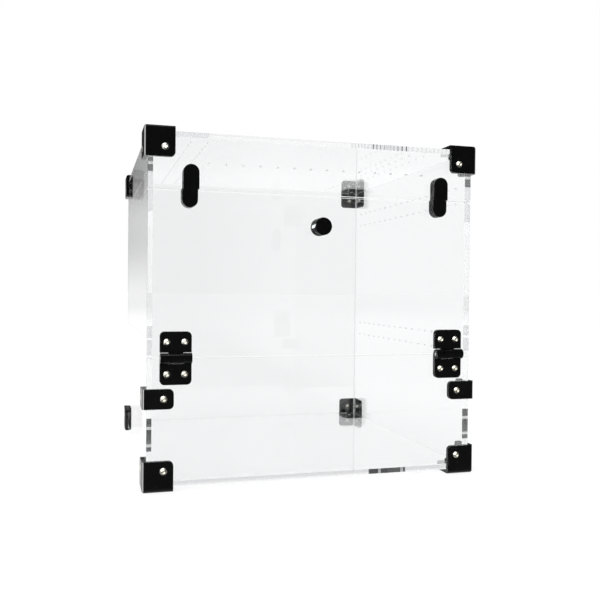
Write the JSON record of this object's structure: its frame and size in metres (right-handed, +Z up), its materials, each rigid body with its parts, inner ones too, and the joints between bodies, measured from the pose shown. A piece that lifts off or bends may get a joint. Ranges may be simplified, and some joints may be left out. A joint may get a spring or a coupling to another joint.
{
  "type": "insect enclosure",
  "caption": "Clear acrylic cube enclosure for keeping insects: black corner brackets, vent holes, and a front door that drops down on two hinges and shuts with magnetic catches",
  "frame": {"origin": "centre of the footprint, on the surface that the enclosure stands on", "axes": "+Z up, the door faces -Y, +X is the right-hand side seen from the front"},
  "size_m": [0.3098, 0.3222, 0.3098],
  "materials": {
    "acrylic": "polished clear acrylic sheet",
    "bracket_black": "black moulded plastic with a low sheen",
    "knob_black": "glossy black",
    "screw_steel": "bright zinc-plated steel",
    "pin_steel": "plain steel",
    "magnet": "nickel-plated"
  },
  "bodies": {
    "box": {"floor_panel": "acrylic", "top_panel": "acrylic", "left_panel": "acrylic", "right_panel": "acrylic", "back_panel": "acrylic", "header_panel": "acrylic", "lower_front_panel": "acrylic", "bracket_front_left_bottom": "bracket_black", "bracket_front_right_bottom": "bracket_black", "bracket_back_left_bottom": "bracket_black", "bracket_back_right_bottom": "bracket_black", "bracket_front_left_top": "bracket_black", "bracket_front_right_top": "bracket_black", "bracket_back_left_top": "bracket_black", "bracket_back_right_top": "bracket_black", "side_bracket_left": "bracket_black", "side_bracket_right": "bracket_black", "bracket_wall_screws": "screw_steel", "bracket_wall_nuts": "screw_steel", "base_and_top_screws": "screw_steel", "base_and_top_nuts": "screw_steel", "side_bracket_screws": "screw_steel", "side_bracket_nuts": "screw_steel", "hinge_fixed_leaf_left": "bracket_black", "hinge_fixed_leaf_right": "bracket_black", "hinge_pin_left": "pin_steel", "hinge_pin_right": "pin_steel", "hinge_fixed_screws": "screw_steel", "hinge_fixed_nuts": "screw_steel", "catch_header_left": "bracket_black", "catch_header_right": "bracket_black", "header_magnets": "magnet"},
    "door": {"door_panel": "acrylic", "hinge_door_leaf_left": "bracket_black", "hinge_door_leaf_right": "bracket_black", "hinge_door_screws": "screw_steel", "hinge_door_nuts": "screw_steel", "catch_door_left": "bracket_black", "catch_door_right": "bracket_black", "door_magnets": "magnet", "door_knob": "knob_black", "knob_screw": "screw_steel"}
  },
  "joints": [
    {"name": "door_hinge", "type": "hinge", "parent": "box", "child": "door", "pos_m": [0, -0.15147, 0.1135], "axis": [1, 0, 0], "range_deg": [0, 135]}
  ]
}
